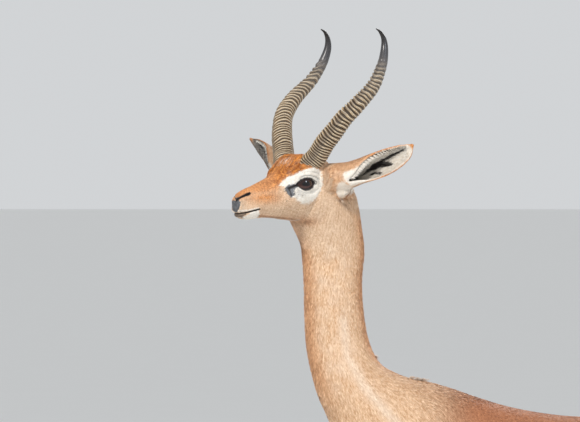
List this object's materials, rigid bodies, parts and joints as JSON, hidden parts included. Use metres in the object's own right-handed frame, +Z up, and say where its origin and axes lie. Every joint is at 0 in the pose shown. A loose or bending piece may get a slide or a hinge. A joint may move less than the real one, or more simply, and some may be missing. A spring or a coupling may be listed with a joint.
{
  "type": "gerenuk",
  "caption": "Life-size still model of a male gerenuk standing with its long neck upright and its horned head turned to the left.",
  "frame": {"origin": "on the ground, under the middle of the model's box", "axes": "-X is the way the body faces, -Y is the animal's left, +Z is up"},
  "size_m": [1.0304, 0.3152, 1.5972],
  "materials": {
    "coat": "short close fur, fawn with a chestnut saddle and a pale belly",
    "horn": "ringed grey-brown horn, darker and smoother at the tip",
    "hoof": "dark hoof horn",
    "eye": "wet dark brown",
    "dark_hair": "coarse dark hair"
  },
  "bodies": {
    "root": {"ear_left": "coat", "ear_right": "coat", "eye_left": "eye", "eye_right": "eye", "fore_cannon_left": "coat", "fore_cannon_right": "coat", "forearm_left": "coat", "forearm_right": "coat", "gaskin_left": "coat", "gaskin_right": "coat", "head": "coat", "hind_cannon_left": "coat", "hind_cannon_right": "coat", "hoof_fore_left_inner": "hoof", "hoof_fore_left_outer": "hoof", "hoof_fore_right_inner": "hoof", "hoof_fore_right_outer": "hoof", "hoof_hind_left_inner": "hoof", "hoof_hind_left_outer": "hoof", "hoof_hind_right_inner": "hoof", "hoof_hind_right_outer": "hoof", "horn_left": "horn", "horn_right": "horn", "neck_lower": "coat", "neck_upper": "coat", "tail": "coat", "tail_tuft": "dark_hair", "torso": "coat"}
  },
  "joints": []
}
